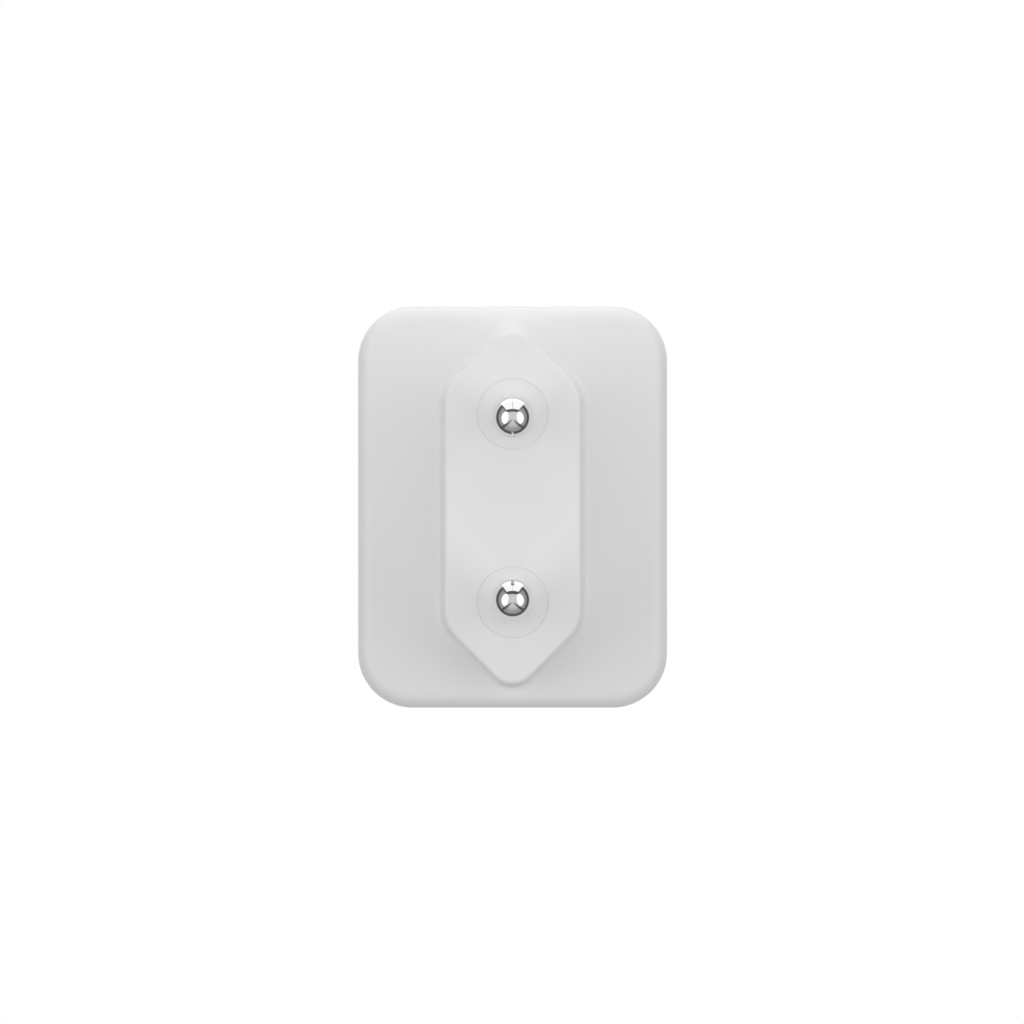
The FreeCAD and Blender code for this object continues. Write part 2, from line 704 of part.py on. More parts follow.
def filter_inductor():
    """A drum core: two round cheeks with the wire wound between them."""
    y, z = inductor_at
    r = inductor_diameter / 2
    cheek = inductor_cheek
    wound_r = r * inductor_waist
    shape = turned([(0, 0), (r, 0), (r, cheek), (wound_r, cheek), (wound_r, inductor_height - cheek),
                    (r, inductor_height - cheek), (r, inductor_height), (0, inductor_height)])
    shape.rotate(Vec(0, 0, 0), Z_AXIS, -90)
    shape.translate(Vec(board_x, y, z))
    return with_leads(shape, pair_along_y(inductor_at, inductor_pitch), board_x + inductor_height / 2)


# ---- Transformer ----
def transformer_core(half):
    """One E-shaped ferrite half: a back with three legs that meet the other half's legs."""
    outside = core_base_x if half == LOWER else core_base_x + core_height
    inside = outside - half * core_back
    y0, y1 = transformer_y - core_depth / 2, transformer_y + core_depth / 2
    z0, z1 = transformer_z - core_span / 2, transformer_z + core_span / 2
    legs = [(z0, z0 + core_outer_leg), (z1 - core_outer_leg, z1),
            (transformer_z - core_centre_leg / 2, transformer_z + core_centre_leg / 2)]
    shape = box(min(outside, inside), max(outside, inside), y0, y1, z0, z1)
    for low, high in legs:
        shape = shape.fuse(box(min(inside, core_middle_x), max(inside, core_middle_x), y0, y1, low, high))
    return shape.removeSplitter()


def bobbin_block(x0, x1, grow):
    """A block round the centre leg, a given distance outside it."""
    half_y = core_depth / 2 + grow
    half_z = core_centre_leg / 2 + grow
    return box(x0, x1, transformer_y - half_y, transformer_y + half_y,
               transformer_z - half_z, transformer_z + half_z)


def window_half_z():
    """Half the width of the core's window, where the bobbin and winding must fit."""
    return core_span / 2 - core_outer_leg - core_fit


def transformer_bobbin():
    """Tube and two flanges round the centre leg, on a foot bar at each end that holds the pins."""
    x0 = core_base_x + core_back
    x1 = core_base_x + core_height - core_back
    shape = bobbin_block(x0, x1, core_fit + bobbin_wall)
    half_y = bobbin_flange_depth / 2
    half_z = window_half_z()
    for low, high in ((x0, x0 + bobbin_flange), (x1 - bobbin_flange, x1)):
        shape = shape.fuse(box(low, high, transformer_y - half_y, transformer_y + half_y,
                               transformer_z - half_z, transformer_z + half_z))
    shape = shape.cut(bobbin_block(x0 - 1, x1 + 1, core_fit))
    foot_inner = core_depth / 2 + core_fit
    for side in (-1, 1):
        y0, y1 = sorted((transformer_y + side * foot_inner, transformer_y + side * half_y))
        shape = shape.fuse(box(board_x, x0 + bobbin_flange, y0, y1,
                               transformer_z - core_span / 2, transformer_z + core_span / 2))
    return with_leads(shape, transformer_leads(), board_x + bobbin_base)


def transformer_winding():
    """The taped coil that fills the bobbin between its flanges."""
    x0 = core_base_x + core_back + bobbin_flange + winding_gap
    x1 = core_base_x + core_height - core_back - bobbin_flange - winding_gap
    half_y = bobbin_flange_depth / 2 - bobbin_wall
    half_z = window_half_z() - winding_gap
    outer = box(x0, x1, transformer_y - half_y, transformer_y + half_y,
                transformer_z - half_z, transformer_z + half_z)
    corners = [e for e in outer.Edges if e.BoundBox.XLength > (x1 - x0) / 2]
    outer = outer.makeFillet(winding_corner_r, corners)
    return outer.cut(bobbin_block(x0 - 1, x1 + 1, core_fit + bobbin_wall))


# ---- Chips on the back of the main board ----
def chip(name):
    """A moulded chip with bent leads along its two sides that face up and down."""
    (y, z), (size_y, size_z), height, lead_count = chips[name]
    top = board_back_x - chip_standoff
    body = box(top - height, top, y - size_y / 2, y + size_y / 2, z - size_z / 2, z + size_z / 2)
    body = body.makeChamfer(chip_bevel, body.Edges)
    pitch = size_y / lead_count
    knee_x = top - height / 2
    for side in (-1, 1):
        edge = z + side * size_z / 2
        knee = edge + side * chip_lead_reach / 2
        tip = edge + side * chip_lead_reach
        spans = [(knee_x - chip_lead_thickness / 2, knee_x + chip_lead_thickness / 2,
                  edge - side * height / 4, knee),
                 (knee_x - chip_lead_thickness / 2, board_back_x, knee - side * chip_lead_thickness, knee),
                 (board_back_x - chip_lead_thickness, board_back_x, knee - side * chip_lead_thickness, tip)]
        for i in range(lead_count):
            middle = y + (i - (lead_count - 1) / 2) * pitch
            for x0, x1, za, zb in spans:
                body = body.fuse(box(x0, x1, middle - chip_lead_width / 2, middle + chip_lead_width / 2,
                                     min(za, zb), max(za, zb)))
    return body.removeSplitter()


# ---- USB-C receptacle and its controller ----
def usb_c_shell():
    """The drawn steel shell, open at the mouth and at the back."""
    outer = stadium(port_shell_half_width, port_shell_half_height, port_back_y, port_mouth_y)
    inner = stadium(port_mouth_width / 2, port_mouth_height / 2, port_back_y - 1, port_mouth_y + 1)
    return outer.cut(inner)


def usb_c_insulator():
    """The block that closes the shell's back, with the tongue that enters the plug."""
    gap = sleeve_clearance
    block = stadium(port_mouth_width / 2 - gap, port_mouth_height / 2 - gap,
                    port_back_y, port_back_y + port_insulator)
    tongue = box(-tongue_width / 2, tongue_width / 2, port_back_y, port_mouth_y - tongue_recess,
                 -tongue_thickness / 2, tongue_thickness / 2)
    tip = [e for e in tongue.Edges if abs(e.BoundBox.YMin - (port_mouth_y - tongue_recess)) < 1e-4
           and e.BoundBox.XLength > tongue_width / 2]
    tongue = tongue.makeChamfer(tongue_thickness / 4, tip)
    return block.fuse(tongue).removeSplitter().cut(usb_c_contacts())


def usb_c_contacts():
    """The gold contact fingers, set flush in the tongue and joined by a carrier bar in the block."""
    half = tongue_thickness / 2
    length = (contact_count - 1) * contact_pitch
    carrier = box(-(length + contact_width) / 2, (length + contact_width) / 2, port_back_y,
                  port_back_y + port_insulator / 3, -half, half)
    fingers = []
    for side in (-1, 1):
        z0, z1 = sorted((side * half, side * (half - contact_thickness)))
        for i in range(contact_count):
            x = i * contact_pitch - length / 2
            fingers.append(box(x - contact_width / 2, x + contact_width / 2, port_back_y,
                               port_mouth_y - tongue_recess - tongue_thickness, z0, z1))
    return carrier.fuse(fingers).removeSplitter()


def pd_controller():
    """A flat leadless chip under the small board."""
    x, y = pd_controller_x, (usb_board_front_y + usb_board_rear_y) / 2
    half = pd_controller_size / 2
    top = usb_board_top - usb_board_thickness
    body = box(x - half, x + half, y - half, y + half, top - pd_controller_height, top)
    rim = [e for e in body.Edges if abs(e.BoundBox.ZMax - body.BoundBox.ZMin) < 1e-4]
    return body.makeChamfer(pd_controller_bevel, rim)


# ---- Heat path and insulation ----
def heat_spreader():
    """A shallow aluminium channel stuck to the shell's right wall."""
    half = spreader_half_z
    plate = box(spreader_x, half_inner_x, spreader_front_y, spreader_rear_y, -half, half)
    for side in (-1, 1):
        z0, z1 = sorted((side * half, side * (half - spreader_thickness)))
        plate = plate.fuse(box(transformer_top_x + spreader_flange_gap, half_inner_x, spreader_front_y,
                               spreader_rear_y, z0, z1))
    return plate.removeSplitter()


def insulation_sheet():
    half = spreader_half_z - spreader_thickness - sheet_clearance
    return box(sheet_x, spreader_x, spreader_front_y, spreader_rear_y, -half, half)


def thermal_pad():
    """The soft pad between the transformer's core and the insulated spreader."""
    room = spreader_half_z - spreader_thickness + transformer_z - 2 * sheet_clearance
    half_z = min(room, core_span / 2)
    shape = box(transformer_top_x, sheet_x, transformer_y - core_depth / 2, transformer_y + core_depth / 2,
                transformer_z - half_z, transformer_z + half_z)
    return shape.makeFillet(pad_corner_r, [e for e in shape.Edges if e.BoundBox.XLength > pad_thickness / 2])


def isolation_barrier():
    """The sheet that stands between the mains side and the outlet side."""
    return box(board_x, transformer_top_x, barrier_y, barrier_y + barrier_thickness,
               transformer_z - core_span / 2, usb_board_top + barrier_above_port)


pieces = {
    "plug_cover": plug_cover(),
    "main_shell": main_shell(),
    "pin_upper": pin(UPPER),
    "pin_lower": pin(LOWER),
    "pin_sleeve_upper": pin_sleeve(UPPER),
    "pin_sleeve_lower": pin_sleeve(LOWER),
    "contact_strip_upper": contact_strip(UPPER),
    "contact_strip_lower": contact_strip(LOWER),
    "main_board": main_board(),
    "fuse": fuse(),
    "varistor": varistor(),
    "x_capacitor": x_capacitor(),
    "choke_core": choke_core(),
    "choke_winding_a": choke_winding(90),
    "choke_winding_b": choke_winding(-90),
    "choke_base": choke_base(),
    "filter_inductor": filter_inductor(),
    "y_capacitor": y_capacitor(),
    "transformer_core_lower": transformer_core(LOWER),
    "transformer_core_upper": transformer_core(UPPER),
    "transformer_bobbin": transformer_bobbin(),
    "transformer_winding": transformer_winding(),
    "usb_board": usb_board(),
    "usb_c_shell": usb_c_shell(),
    "usb_c_insulator": usb_c_insulator(),
    "usb_c_contacts": usb_c_contacts(),
    "pd_controller": pd_controller(),
    "heat_spreader": heat_spreader(),
    "insulation_sheet": insulation_sheet(),
    "thermal_pad": thermal_pad(),
    "isolation_barrier": isolation_barrier(),
}
for label, place in bulk_places.items():
    pieces["bulk_capacitor_" + label] = can(place, bulk_diameter, bulk_height, bulk_pitch)
for label, place in output_places.items():
    pieces["output_capacitor_" + label] = can(place, output_diameter, output_height, output_pitch)
for name in chips:
    pieces[name] = chip(name)

for name, shape in pieces.items():
    shape.exportStep("parts/" + name + ".step")
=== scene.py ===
"""Looks of the plug-in power adapter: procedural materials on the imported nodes, and a plain white studio.

Units are metres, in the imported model's own frame: the origin is the centre of the plug's face, the pins
point to -Y, +Z is up. No shape is added or changed here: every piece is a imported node, given the material of
its kind.
"""
import bpy
import math
from mathutils import Matrix, Vector


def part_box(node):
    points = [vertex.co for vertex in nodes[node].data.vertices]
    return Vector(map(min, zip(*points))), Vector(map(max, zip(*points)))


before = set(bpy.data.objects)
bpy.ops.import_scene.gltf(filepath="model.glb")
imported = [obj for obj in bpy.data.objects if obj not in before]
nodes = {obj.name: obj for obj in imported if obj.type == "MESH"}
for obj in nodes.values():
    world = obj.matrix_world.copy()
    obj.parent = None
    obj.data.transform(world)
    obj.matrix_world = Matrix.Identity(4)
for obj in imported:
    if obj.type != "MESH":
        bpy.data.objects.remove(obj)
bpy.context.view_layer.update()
scene = bpy.context.scene

MM = 0.001

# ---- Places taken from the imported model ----
cover_low, cover_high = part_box("plug_cover")
plug_face_y = cover_low.y
underside_z = cover_low.z
centre_z = (cover_low.z + cover_high.z) / 2
board_top_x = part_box("main_board")[1].x     # the board's component side

# ---- Colours used by several materials ----
tin = (0.74, 0.73, 0.71)
copper = (0.62, 0.24, 0.10)
aluminium = (0.76, 0.76, 0.77)
rubber = (0.03, 0.03, 0.03)
tape_yellow = (0.80, 0.58, 0.06)


def scaled(color, factor):
    """A colour made darker or paler."""
    return tuple(min(1, c * factor) for c in color)


# ---- Node helpers ----
class Shader:
    """A material with a Principled shader, and short calls that add and join nodes."""

    def __init__(self, name, color, roughness, metallic=0.0, ior=1.5):
        self.material = bpy.data.materials.new(name)
        self.material.use_nodes = True
        self.tree = self.material.node_tree
        self.surface = self.tree.nodes["Principled BSDF"]
        self.set("Base Color", (*color, 1.0))
        self.set("Roughness", roughness)
        self.set("Metallic", metallic)
        self.set("IOR", ior)

    def set(self, socket, value):
        self.surface.inputs[socket].default_value = value

    def add(self, kind, settings=(), **inputs):
        node = self.tree.nodes.new(kind)
        for key, value in dict(settings).items():
            setattr(node, key, value)
        for key, value in inputs.items():
            self.feed(node, key.replace("_", " "), value)
        return node

    def feed(self, node, key, value):
        socket = node.inputs[int(key)] if key.isdigit() else node.inputs[key]
        if isinstance(value, bpy.types.NodeSocket):
            self.tree.links.new(value, socket)
        else:
            socket.default_value = value

    def link(self, output, socket):
        self.tree.links.new(output, self.surface.inputs[socket])

    def place(self, stretch=(1, 1, 1)):
        """Object coordinates, stretched per axis."""
        coords = self.add("ShaderNodeTexCoord").outputs["Object"]
        return self.add("ShaderNodeMapping", Vector=coords, Scale=stretch).outputs["Vector"]

    def noise(self, size, detail=2.0, stretch=(1, 1, 1)):
        """Soft noise whose features are about size metres across."""
        node = self.add("ShaderNodeTexNoise", Vector=self.place(stretch), Scale=1 / size, Detail=detail)
        return node.outputs["Fac"]

    def ramp(self, value, low, high, start=0.3, end=0.7):
        """Map a value's range start..end onto low..high."""
        limits = {"From_Min": start, "From_Max": end, "To_Min": low, "To_Max": high}
        return self.add("ShaderNodeMapRange", Value=value, **limits).outputs["Result"]

    def cells(self, size, **settings):
        """Distance within scattered cells about size metres across."""
        node = self.add("ShaderNodeTexVoronoi", settings, Vector=self.place(), Scale=1 / size)
        return node.outputs["Distance"]

    def blend(self, factor, first, second):
        """A colour or a number between two others."""
        node = self.tree.nodes.new("ShaderNodeMix")
        is_color = isinstance(first, (tuple, list)) or getattr(first, "type", "") == "RGBA"
        node.data_type = "RGBA" if is_color else "FLOAT"
        places = (6, 7) if is_color else (2, 3)
        for index, value in zip((0, *places), (factor, first, second)):
            if isinstance(value, bpy.types.NodeSocket):
                self.tree.links.new(value, node.inputs[index])
            elif isinstance(value, (tuple, list)):
                node.inputs[index].default_value = (*value[:3], 1.0)
            else:
                node.inputs[index].default_value = value
        return node.outputs[2 if is_color else 0]

    def bump(self, height, depth):
        """Raise the surface by height times depth metres."""
        return self.add("ShaderNodeBump", Height=height, Distance=depth, Strength=1.0).outputs["Normal"]

    def calc(self, operation, first, second=0.0):
        node = self.add("ShaderNodeMath", {"operation": operation})
        self.feed(node, "0", first)
        self.feed(node, "1", second)
        return node.outputs[0]

    def axis(self, name, output="Object"):
        """One object coordinate, or with output Normal one part of the surface's direction."""
        source = self.add("ShaderNodeTexCoord").outputs[output]
        return self.add("ShaderNodeSeparateXYZ", Vector=source).outputs[name]

    def between(self, value, low, high):
        """1 where a value lies between two limits, else 0."""
        above = self.calc("GREATER_THAN", value, low)
        return self.calc("MULTIPLY", above, self.calc("LESS_THAN", value, high))

    def away(self, name, middle):
        """How far an object coordinate is from a middle, either way."""
        return self.calc("ABSOLUTE", self.calc("SUBTRACT", self.axis(name), middle))

    def ripple(self, value, pitch):
        """A rounded wave from 0 to 1 along a value, once for each pitch."""
        turn = self.calc("MULTIPLY", value, 2 * math.pi / pitch)
        return self.calc("MULTIPLY", self.calc("ADD", self.calc("SINE", turn), 1.0), 0.5)

    def angle(self, first, first_middle, second, second_middle):
        """The angle round a line, from two object coordinates and the line's place."""
        up = self.calc("SUBTRACT", self.axis(first), first_middle)
        out = self.calc("SUBTRACT", self.axis(second), second_middle)
        return self.calc("ARCTAN2", up, out)

    def patch(self, mask, color, roughness, metallic=0.0):
        """Where the mask is 1, another colour, roughness and metal share."""
        for socket, value in (("Base Color", color), ("Roughness", roughness), ("Metallic", metallic)):
            target = self.surface.inputs[socket]
            now = target.links[0].from_socket if target.is_linked else target.default_value
            if socket == "Base Color" and not target.is_linked:
                now = tuple(now)
            self.link(self.blend(mask, now, value), socket)

    def tinned_leads(self):
        """Tin on the wire leads and solder behind the board's component side."""
        self.patch(self.calc("LESS_THAN", self.axis("X"), board_top_x), tin, 0.28, 1.0)

    def rubber_bung(self):
        """The black rubber foot of an upright can, just above the board."""
        self.patch(self.calc("LESS_THAN", self.axis("X"), board_top_x + bung_height), rubber, 0.75)


def dress(shader, *names):
    for name in names:
        mesh = nodes[name].data
        mesh.materials.clear()
        mesh.materials.append(shader.material)


# ---- Outside materials ----
def moulded_white(name, color, roughness, grain):
    """Satin white thermoplastic: an eroded-tool grain, and faint unevenness of gloss and tone."""
    shader = Shader(name, color, roughness)
    patches = shader.noise(6 * MM, 3)
    shader.link(shader.ramp(patches, roughness - 0.03, roughness + 0.03), "Roughness")
    shader.link(shader.blend(shader.noise(9 * MM, 2), scaled(color, 0.985), color), "Base Color")
    fine = shader.noise(0.16 * MM, 3)
    shader.link(shader.bump(fine, grain), "Normal")
    return shader


housing = moulded_white("housing_plastic", (0.93, 0.93, 0.93), 0.42, 0.0012 * MM)
sleeve = moulded_white("sleeve_plastic", (0.92, 0.92, 0.92), 0.36, 0.0008 * MM)


def nickel_plate():
    """Bright nickel plate with faint turning marks round the pin and a few soft smears."""
    shader = Shader("pin_metal", (0.81, 0.81, 0.81), 0.10, metallic=1.0)
    smears = shader.noise(1.5 * MM, 3)
    shader.link(shader.ramp(smears, 0.08, 0.13), "Roughness")
    marks = shader.noise(0.09 * MM, 1, stretch=(0.04, 1.0, 0.04))
    shader.link(shader.bump(marks, 0.00012 * MM), "Normal")
    return shader


dress(housing, "plug_cover", "main_shell")
dress(sleeve, "pin_sleeve_upper", "pin_sleeve_lower")
dress(nickel_plate(), "pin_upper", "pin_lower")


# ---- USB-C receptacle ----
def drawn_metal(name, color, roughness, stretch, grain=0.05 * MM, depth=0.0004 * MM):
    """Rolled or drawn metal: fine lines along one direction and uneven gloss."""
    shader = Shader(name, color, roughness, metallic=1.0)
    lines = shader.noise(grain, 2, stretch)
    shader.link(shader.ramp(lines, roughness - 0.06, roughness + 0.08), "Roughness")
    shader.link(shader.bump(lines, depth), "Normal")
    tarnish = shader.noise(3 * MM, 3)
    shader.link(shader.blend(tarnish, color, scaled(color, 0.9)), "Base Color")
    return shader


def moulded(name, color, roughness, grain, depth):
    """Moulded resin with a fine grain and faint flow marks."""
    shader = Shader(name, color, roughness)
    fine = shader.noise(grain, 3)
    flow = shader.noise(1.6 * MM, 2, (1, 0.35, 1))
    shader.link(shader.ramp(flow, roughness - 0.07, roughness + 0.07), "Roughness")
    shader.link(shader.blend(flow, scaled(color, 0.8), scaled(color, 1.15)), "Base Color")
    shader.link(shader.bump(fine, depth), "Normal")
    return shader


dress(drawn_metal("port_steel", (0.58, 0.57, 0.56), 0.24, (1, 0.06, 1)), "usb_c_shell")
dress(moulded("port_plastic", (0.018, 0.018, 0.020), 0.42, 0.05 * MM, 0.001 * MM), "usb_c_insulator")


def gold_contacts():
    """Gold flash, worn a little paler along each finger's middle by plugs."""
    shader = drawn_metal("contact_gold", (0.90, 0.66, 0.28), 0.20, (1, 0.1, 1), 0.03 * MM, 0.0002 * MM)
    rub = shader.noise(0.4 * MM, 2, (1, 0.3, 1))
    shader.patch(shader.ramp(rub, 0.0, 0.5, 0.55, 0.75), (0.80, 0.70, 0.48), 0.30, 1.0)
    return shader


dress(gold_contacts(), "usb_c_contacts")


# ---- Boards and contact strips ----
weave_pitch = 0.5 * MM


def laminate(name, face_axis):
    """Green solder mask over copper traces on the faces, bare glass-epoxy on the cut edges."""
    shader = Shader(name, (0.012, 0.11, 0.045), 0.36)
    areas = shader.cells(3.2 * MM, feature="DISTANCE_TO_EDGE", distance="MANHATTAN")
    traces = shader.calc("GREATER_THAN", areas, 0.10)
    warp = shader.ripple(shader.axis("Y"), weave_pitch)
    weave = shader.calc("ADD", warp, shader.ripple(shader.axis("Z"), weave_pitch))
    shader.link(shader.blend(traces, (0.008, 0.075, 0.03), (0.016, 0.15, 0.06)), "Base Color")
    raised = shader.calc("ADD", traces, shader.calc("MULTIPLY", weave, 0.15))
    shader.link(shader.bump(raised, 0.02 * MM), "Normal")
    facing = shader.calc("ABSOLUTE", shader.axis(face_axis, "Normal"))
    shader.patch(shader.calc("LESS_THAN", facing, 0.5), (0.52, 0.44, 0.20), 0.7)
    return shader


dress(laminate("main_board_laminate", "X"), "main_board")
dress(laminate("usb_board_laminate", "Z"), "usb_board")


def brass_strips():
    shader = drawn_metal("strip_brass", (0.80, 0.62, 0.32), 0.30, (1, 0.05, 1), 0.08 * MM, 0.001 * MM)
    shader.tinned_leads()
    return shader


dress(brass_strips(), "contact_strip_upper", "contact_strip_lower")


# ---- Parts on the main board ----
fuse_cap = 1.4 * MM          # length of each plated cap
inductor_cheek = 1.3 * MM    # thickness of each cheek of the drum core
bung_height = 0.8 * MM
can_rim = 0.8 * MM           # the sleeve's turned-in rim round a can's bare top
can_top = 0.3 * MM           # how far down from the top a can's marking reaches
can_score = 0.12 * MM        # half width of the vent's scored cross
tape_lap = 0.9 * MM
toroid_turn = 0.13           # angle of one turn round the choke, in radians
drum_turn = 0.35 * MM


def fuse_body():
    """A ceramic tube between two plated caps."""
    low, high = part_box("fuse")
    shader = moulded("fuse_ceramic", (0.80, 0.78, 0.71), 0.45, 0.08 * MM, 0.002 * MM)
    from_middle = shader.away("Y", (low.y + high.y) / 2)
    cap_start = (high.y - low.y) / 2 - fuse_cap
    shader.patch(shader.calc("GREATER_THAN", from_middle, cap_start), (0.72, 0.71, 0.68), 0.22, 1.0)
    shader.tinned_leads()
    return shader


dress(fuse_body(), "fuse")


def dipped(name, color):
    """A glossy epoxy dip with the soft waves and pinholes that dipping leaves."""
    shader = Shader(name, color, 0.18)
    waves = shader.noise(1.2 * MM, 3)
    pores = shader.cells(0.7 * MM)
    height = shader.calc("ADD", waves, shader.ramp(pores, 0.0, 0.4, 0.05, 0.2))
    shader.link(shader.bump(height, 0.05 * MM), "Normal")
    shader.link(shader.blend(waves, scaled(color, 0.75), color), "Base Color")
    shader.link(shader.ramp(waves, 0.12, 0.26), "Roughness")
    shader.tinned_leads()
    return shader


dress(dipped("varistor_coating", (0.03, 0.10, 0.36)), "varistor")
dress(dipped("disc_coating", (0.05, 0.22, 0.46)), "y_capacitor")


def leaded(shader):
    shader.tinned_leads()
    return shader


dress(leaded(moulded("capacitor_case", (0.72, 0.50, 0.05), 0.50, 0.10 * MM, 0.004 * MM)), "x_capacitor")
dress(leaded(moulded("bobbin_plastic", (0.022, 0.022, 0.022), 0.48, 0.10 * MM, 0.004 * MM)),
      "transformer_bobbin", "choke_base")


def ferrite(name):
    """Sintered ferrite: dark, with pits and paler ground grains."""
    shader = Shader(name, (0.045, 0.045, 0.050), 0.60)
    pits = shader.cells(0.18 * MM)
    grains = shader.noise(0.12 * MM, 4)
    tone = shader.blend(shader.ramp(grains, 0, 1), (0.028, 0.028, 0.032), (0.075, 0.075, 0.080))
    shader.link(tone, "Base Color")
    height = shader.calc("ADD", shader.ramp(pits, 0, 1, 0.0, 0.3), grains)
    shader.link(shader.bump(height, 0.012 * MM), "Normal")
    shader.link(shader.ramp(grains, 0.48, 0.72), "Roughness")
    return shader


dress(ferrite("ferrite"), "choke_core", "transformer_core_lower", "transformer_core_upper")


def toroid_winding():
    """Turns of enamelled copper wire side by side round the choke's ring, darker in the grooves between them
    with painted shade.
    """
    low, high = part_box("choke_core")
    middle = (low + high) / 2
    shader = Shader("choke_wire", copper, 0.25, metallic=0.85)
    turn_ripple_and_groove_shade = shader.ripple(shader.angle("X", middle.x, "Z", middle.z), toroid_turn)
    # the copper darkens into each groove of the winding: painted shade
    shader.link(shader.blend(turn_ripple_and_groove_shade, scaled(copper, 0.35), copper), "Base Color")
    shader.link(shader.bump(turn_ripple_and_groove_shade, 0.12 * MM), "Normal")
    shader.link(shader.ramp(shader.noise(0.6 * MM, 2), 0.18, 0.34), "Roughness")
    return shader


dress(toroid_winding(), "choke_winding_a", "choke_winding_b")


def drum_inductor():
    """Ferrite cheeks with a copper winding between them, darker in its grooves with painted shade."""
    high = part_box("filter_inductor")[1]
    shader = ferrite("drum_core")
    wound = shader.between(shader.axis("X"), board_top_x + inductor_cheek, high.x - inductor_cheek)
    turn_ripple_and_groove_shade = shader.ripple(shader.axis("X"), drum_turn)
    # darker copper in each groove of the winding: painted shade
    color = shader.blend(turn_ripple_and_groove_shade, scaled(copper, 0.35), copper)
    shader.patch(wound, color, 0.28, 0.85)
    shader.tinned_leads()
    return shader


dress(drum_inductor(), "filter_inductor")


def taped_winding():
    """Yellow polyester tape in overlapping layers, a little wrinkled, darker along each lap's step with
    painted shade.
    """
    shader = Shader("winding_tape", tape_yellow, 0.30)
    laps = shader.calc("PINGPONG", shader.axis("X"), tape_lap)
    lap_step_and_painted_shade = shader.ramp(laps, 0.0, 1.0, 0.0, 0.06 * MM)
    wrinkles = shader.noise(0.9 * MM, 3, (0.4, 1, 1))
    height = shader.calc("ADD", lap_step_and_painted_shade, shader.calc("MULTIPLY", wrinkles, 0.5))
    shader.link(shader.bump(height, 0.03 * MM), "Normal")
    # darker yellow along the step at each lap: painted shade
    shader.link(shader.blend(lap_step_and_painted_shade, (0.55, 0.36, 0.03), tape_yellow), "Base Color")
    shader.link(shader.ramp(wrinkles, 0.22, 0.40), "Roughness")
    return shader


dress(taped_winding(), "transformer_winding")


def electrolytic(name, node):
    """An upright can: rubber bung, dark sleeve with a paler stripe down one side, bare scored top."""
    low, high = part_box(node)
    middle_y, middle_z = (low.y + high.y) / 2, (low.z + high.z) / 2
    shader = Shader(name, (0.018, 0.020, 0.030), 0.30)
    shrink = shader.noise(1.5 * MM, 2, (0.3, 1, 1))
    shader.link(shader.bump(shrink, 0.02 * MM), "Normal")
    shader.link(shader.ramp(shrink, 0.24, 0.38), "Roughness")
    turn = shader.angle("Z", middle_z, "Y", middle_y)
    shader.patch(shader.between(turn, 1.2, 1.9), (0.42, 0.42, 0.44), 0.32)
    across_y = shader.away("Y", middle_y)
    across_z = shader.away("Z", middle_z)
    squares = shader.calc("ADD", shader.calc("POWER", across_y, 2.0), shader.calc("POWER", across_z, 2.0))
    inside_rim = shader.calc("LESS_THAN", shader.calc("SQRT", squares), (high.y - low.y) / 2 - can_rim)
    at_top = shader.calc("GREATER_THAN", shader.axis("X"), high.x - can_top)
    bare = shader.calc("MULTIPLY", at_top, inside_rim)
    shader.patch(bare, (0.75, 0.75, 0.76), 0.35, 1.0)
    score = shader.calc("LESS_THAN", shader.calc("MINIMUM", across_y, across_z), can_score)
    shader.patch(shader.calc("MULTIPLY", bare, score), (0.30, 0.30, 0.31), 0.5, 1.0)
    shader.rubber_bung()
    shader.tinned_leads()
    return shader


def polymer_can(name, node):
    """A bare aluminium can with a coloured segment on its top."""
    low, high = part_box(node)
    shader = drawn_metal(name, aluminium, 0.26, (0.1, 1, 1), 0.08 * MM, 0.001 * MM)
    at_top = shader.calc("GREATER_THAN", shader.axis("X"), high.x - can_top)
    segment = shader.calc("GREATER_THAN", shader.axis("Z"), (low.z + 2 * high.z) / 3)
    shader.patch(shader.calc("MULTIPLY", at_top, segment), (0.05, 0.08, 0.40), 0.35)
    shader.rubber_bung()
    shader.tinned_leads()
    return shader


for side in ("a", "b"):
    dress(electrolytic("bulk_can_" + side, "bulk_capacitor_" + side), "bulk_capacitor_" + side)
    dress(polymer_can("polymer_can_" + side, "output_capacitor_" + side), "output_capacitor_" + side)


# ---- Chips ----
lead_reach = 1.0 * MM        # how far the leads stick out at each side of a chip


def chip_resin(node):
    """Black moulding compound with a fine sparkle of filler."""
    shader = moulded(node + "_resin", (0.020, 0.020, 0.021), 0.55, 0.06 * MM, 0.004 * MM)
    shader.patch(shader.calc("LESS_THAN", shader.cells(0.09 * MM), 0.10), (0.07, 0.07, 0.07), 0.40)
    return shader


def leaded_chip(node):
    """A chip with tinned leads beyond its body along Z."""
    low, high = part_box(node)
    shader = chip_resin(node)
    lead_start = (high.z - low.z) / 2 - lead_reach + 0.02 * MM
    from_middle = shader.away("Z", (low.z + high.z) / 2)
    shader.patch(shader.calc("GREATER_THAN", from_middle, lead_start), tin, 0.30, 1.0)
    return shader


for node in ("bridge_rectifier", "primary_controller", "sync_rectifier", "optocoupler"):
    dress(leaded_chip(node), node)
dress(chip_resin("pd_controller"), "pd_controller")

# ---- Heat path and insulation ----
dress(drawn_metal("spreader_aluminium", aluminium, 0.34, (1, 0.03, 1), 0.12 * MM, 0.002 * MM),
      "heat_spreader")


def film():
    """Amber polyimide film, slightly see-through and faintly streaked."""
    shader = Shader("insulation_film", (0.62, 0.30, 0.05), 0.20)
    streaks = shader.noise(1.0 * MM, 3, (1, 0.2, 1))
    shader.link(shader.blend(streaks, (0.50, 0.22, 0.03), (0.70, 0.36, 0.08)), "Base Color")
    shader.link(shader.ramp(streaks, 0.14, 0.28), "Roughness")
    shader.link(shader.bump(streaks, 0.01 * MM), "Normal")
    shader.set("Transmission Weight", 0.35)
    return shader


dress(film(), "insulation_sheet", "isolation_barrier")


